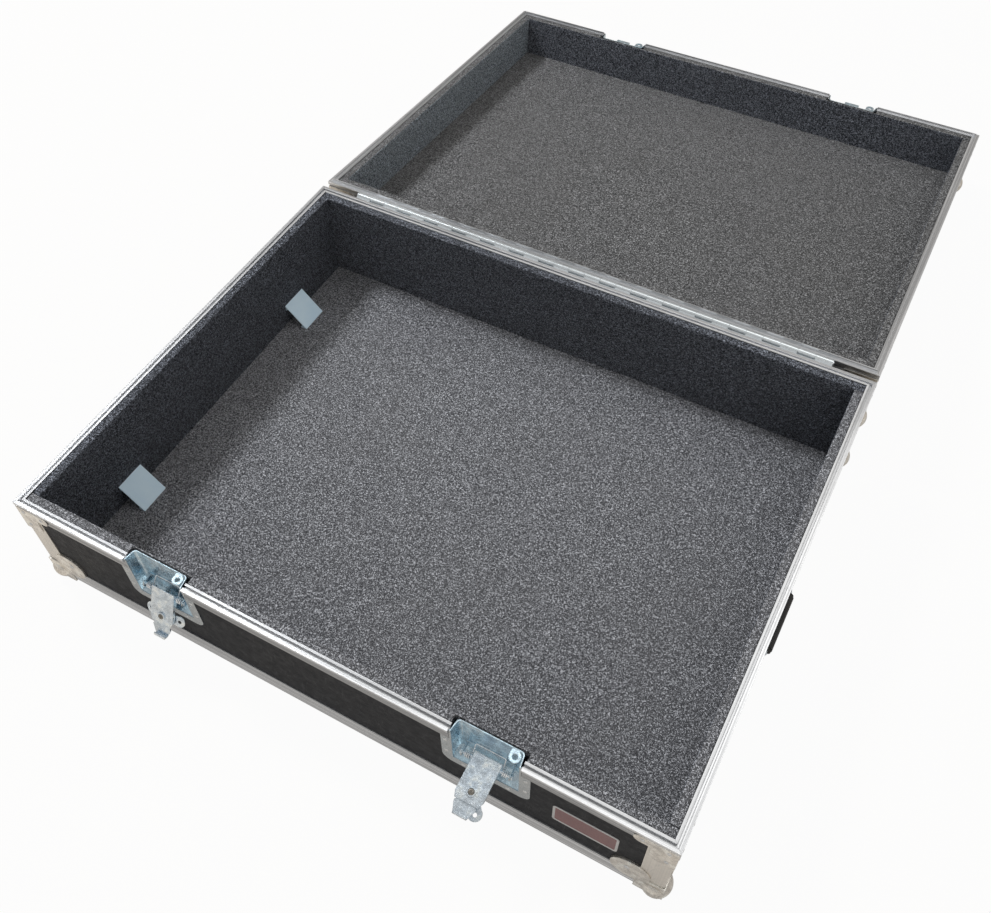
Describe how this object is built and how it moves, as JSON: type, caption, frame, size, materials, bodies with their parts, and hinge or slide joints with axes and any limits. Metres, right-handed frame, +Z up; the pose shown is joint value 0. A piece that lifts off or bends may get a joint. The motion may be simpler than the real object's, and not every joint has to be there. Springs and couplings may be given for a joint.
{
  "type": "effect pedal flight case",
  "caption": "Foam-lined flight case for effect pedals: deep base tray, shallow lid on a piano hinge folded right back, butterfly latches in recessed dishes, recessed bail handles.",
  "frame": {"origin": "centre of the underside of the base's floor panel", "axes": "+Z up, +Y from the front with the latches towards the hinge, +X to the right seen from the front"},
  "size_m": [0.8736, 1.4012, 0.1708],
  "materials": {
    "laminated_ply": "black textured laminate",
    "foam_lining": "matte dark grey foam",
    "aluminium_extrusion": "satin anodised, fine lines",
    "hinge_aluminium": "satin",
    "zinc_plated_steel": "bright zinc plate",
    "painted_bracket": "satin blue grey",
    "rubber_grip": "moulded black"
  },
  "bodies": {
    "case_base": {"base_floor_panel": "laminated_ply", "base_front_panel": "laminated_ply", "base_back_panel": "laminated_ply", "base_left_panel": "laminated_ply", "base_right_panel": "laminated_ply", "base_floor_foam": "foam_lining", "base_wall_foam": "foam_lining", "base_rim_front": "aluminium_extrusion", "base_rim_back": "aluminium_extrusion", "base_rim_sides": "aluminium_extrusion", "base_edging_long": "aluminium_extrusion", "base_edging_short": "aluminium_extrusion", "base_corner_angles": "aluminium_extrusion", "base_ball_corners": "zinc_plated_steel", "base_corner_braces": "zinc_plated_steel", "left_dish_base": "zinc_plated_steel", "right_dish_base": "zinc_plated_steel", "left_pivot_bracket": "zinc_plated_steel", "right_pivot_bracket": "zinc_plated_steel", "left_pivot_pin": "zinc_plated_steel", "right_pivot_pin": "zinc_plated_steel", "left_springs": "zinc_plated_steel", "right_springs": "zinc_plated_steel", "base_padlock_eyes": "zinc_plated_steel", "hinge_base_leaf": "hinge_aluminium", "hinge_pin": "hinge_aluminium", "left_handle_dish": "zinc_plated_steel", "right_handle_dish": "zinc_plated_steel", "wedge_brackets": "painted_bracket"},
    "lid": {"lid_top_panel": "laminated_ply", "lid_front_panel": "laminated_ply", "lid_back_panel": "laminated_ply", "lid_left_panel": "laminated_ply", "lid_right_panel": "laminated_ply", "lid_top_foam": "foam_lining", "lid_wall_foam": "foam_lining", "lid_rim_front": "aluminium_extrusion", "lid_rim_back": "aluminium_extrusion", "lid_rim_sides": "aluminium_extrusion", "lid_edging_long": "aluminium_extrusion", "lid_edging_short": "aluminium_extrusion", "lid_corner_angles": "aluminium_extrusion", "lid_ball_corners": "zinc_plated_steel", "lid_corner_braces": "zinc_plated_steel", "left_dish_lid": "zinc_plated_steel", "right_dish_lid": "zinc_plated_steel", "lid_padlock_eyes": "zinc_plated_steel", "left_keeper": "zinc_plated_steel", "right_keeper": "zinc_plated_steel", "hinge_lid_leaf": "hinge_aluminium"},
    "left_arm": {"left_latch_arm": "zinc_plated_steel"},
    "right_arm": {"right_latch_arm": "zinc_plated_steel"},
    "left_hook": {"left_hook_plate": "zinc_plated_steel"},
    "right_hook": {"right_hook_plate": "zinc_plated_steel"},
    "left_butterfly": {"left_butterfly": "zinc_plated_steel"},
    "right_butterfly": {"right_butterfly": "zinc_plated_steel"},
    "left_handle": {"left_handle_bail": "zinc_plated_steel", "left_handle_grip": "rubber_grip"},
    "right_handle": {"right_handle_bail": "zinc_plated_steel", "right_handle_grip": "rubber_grip"}
  },
  "joints": [
    {"name": "lid_hinge", "type": "hinge", "parent": "case_base", "child": "lid", "pos_m": [0, 0.34045, 0.1582], "axis": [1, 0, 0], "range_deg": [0, 185.06]},
    {"name": "left_latch_swing", "type": "hinge", "parent": "case_base", "child": "left_arm", "pos_m": [-0.216, -0.3283, 0.108], "axis": [1, 0, 0], "range_deg": [-155, 0]},
    {"name": "right_latch_swing", "type": "hinge", "parent": "case_base", "child": "right_arm", "pos_m": [0.216, -0.3283, 0.108], "axis": [1, 0, 0], "range_deg": [-98, 57]},
    {"name": "left_butterfly_turn", "type": "hinge", "parent": "left_arm", "child": "left_butterfly", "pos_m": [-0.216, -0.34225, 0.07809], "axis": [0, -0.9063, 0.4226], "range_deg": [0, 180]},
    {"name": "right_butterfly_turn", "type": "hinge", "parent": "right_arm", "child": "right_butterfly", "pos_m": [0.216, -0.36098, 0.10341], "axis": [0, -0.1392, 0.9903], "range_deg": [-120, 60]},
    {"name": "left_hook_draw", "type": "slide", "parent": "left_arm", "child": "left_hook", "axis": [0, 0.4226, 0.9063], "range_m": [0, 0.006]},
    {"name": "right_hook_draw", "type": "slide", "parent": "right_arm", "child": "right_hook", "axis": [0, 0.9903, 0.1392], "range_m": [-0.004, 0.002]},
    {"name": "left_handle_swing", "type": "hinge", "parent": "case_base", "child": "left_handle", "pos_m": [-0.4218, 0, 0.102], "axis": [0, 1, 0], "range_deg": [0, 90], "stiffness_Nm_per_rad": 0.3, "springref_deg": -17.19},
    {"name": "right_handle_swing", "type": "hinge", "parent": "case_base", "child": "right_handle", "pos_m": [0.4218, 0, 0.102], "axis": [0, -1, 0], "range_deg": [0, 90], "stiffness_Nm_per_rad": 0.3, "springref_deg": -17.19}
  ],
  "couplings": [
    {"joint": "left_hook_draw", "follows": "left_butterfly_turn", "m_per_rad": 0.0019098},
    {"joint": "right_hook_draw", "follows": "right_butterfly_turn", "m_per_rad": 0.0019098}
  ]
}
